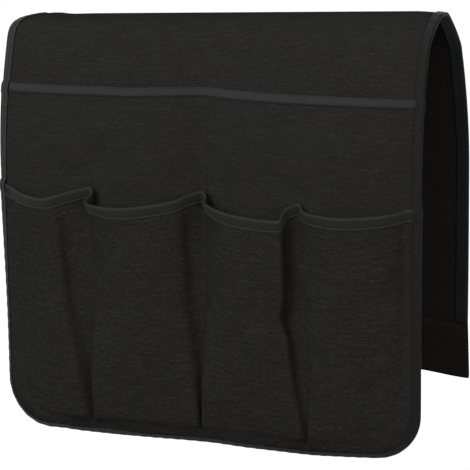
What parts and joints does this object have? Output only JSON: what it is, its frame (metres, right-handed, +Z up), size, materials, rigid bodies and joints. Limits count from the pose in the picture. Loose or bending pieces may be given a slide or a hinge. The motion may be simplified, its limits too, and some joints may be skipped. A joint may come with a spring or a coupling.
{
  "type": "armrest organizer",
  "caption": "Cloth armrest organizer: a bound sheet that saddles an armrest, with full-depth upper pockets under pleated lower pockets on its front flap and a stiffened hem on its back flap.",
  "frame": {"origin": "middle of the flat strip under the ridge, where the sheet rests on the armrest", "axes": "+X along the armrest to the right of a person facing the pockets, -Y out of the pocket side, +Z up"},
  "size_m": [0.35, 0.1554, 0.3397],
  "materials": {
    "cloth": "coarse linen-look weave, charcoal, matte",
    "tape": "woven binding tape, dark grey, slight sheen",
    "thread": "matte sewing thread",
    "board": "plain stiffener strip, never seen"
  },
  "bodies": {
    "saddle": {"saddle_panel": "cloth", "saddle_binding_left": "tape", "saddle_binding_right": "tape", "saddle_stitch_left": "thread", "saddle_stitch_right": "thread"},
    "front_flap": {"front_panel": "cloth", "front_edge_binding": "tape", "front_edge_stitch": "thread", "upper_pocket_panel": "cloth", "upper_rim_tape": "tape", "upper_divider_stitch": "thread", "lower_pocket_panel": "cloth", "lower_rim_tape": "tape", "pocket_stitch_1": "thread", "pocket_stitch_2": "thread", "pocket_stitch_3": "thread"},
    "back_flap": {"back_panel": "cloth", "back_binding_left": "tape", "back_binding_right": "tape", "back_stitch_left": "thread", "back_stitch_right": "thread", "hem_stiffener": "board", "hem_stitch": "thread"}
  },
  "joints": [
    {"name": "front_flap_hinge", "type": "hinge", "parent": "saddle", "child": "front_flap", "pos_m": [0, -0.04116, -0.02078], "axis": [-1, 0, 0], "range_deg": [-10, 80]},
    {"name": "back_flap_hinge", "type": "hinge", "parent": "saddle", "child": "back_flap", "pos_m": [0, 0.04314, -0.02721], "axis": [1, 0, 0], "range_deg": [-10, 80]}
  ]
}
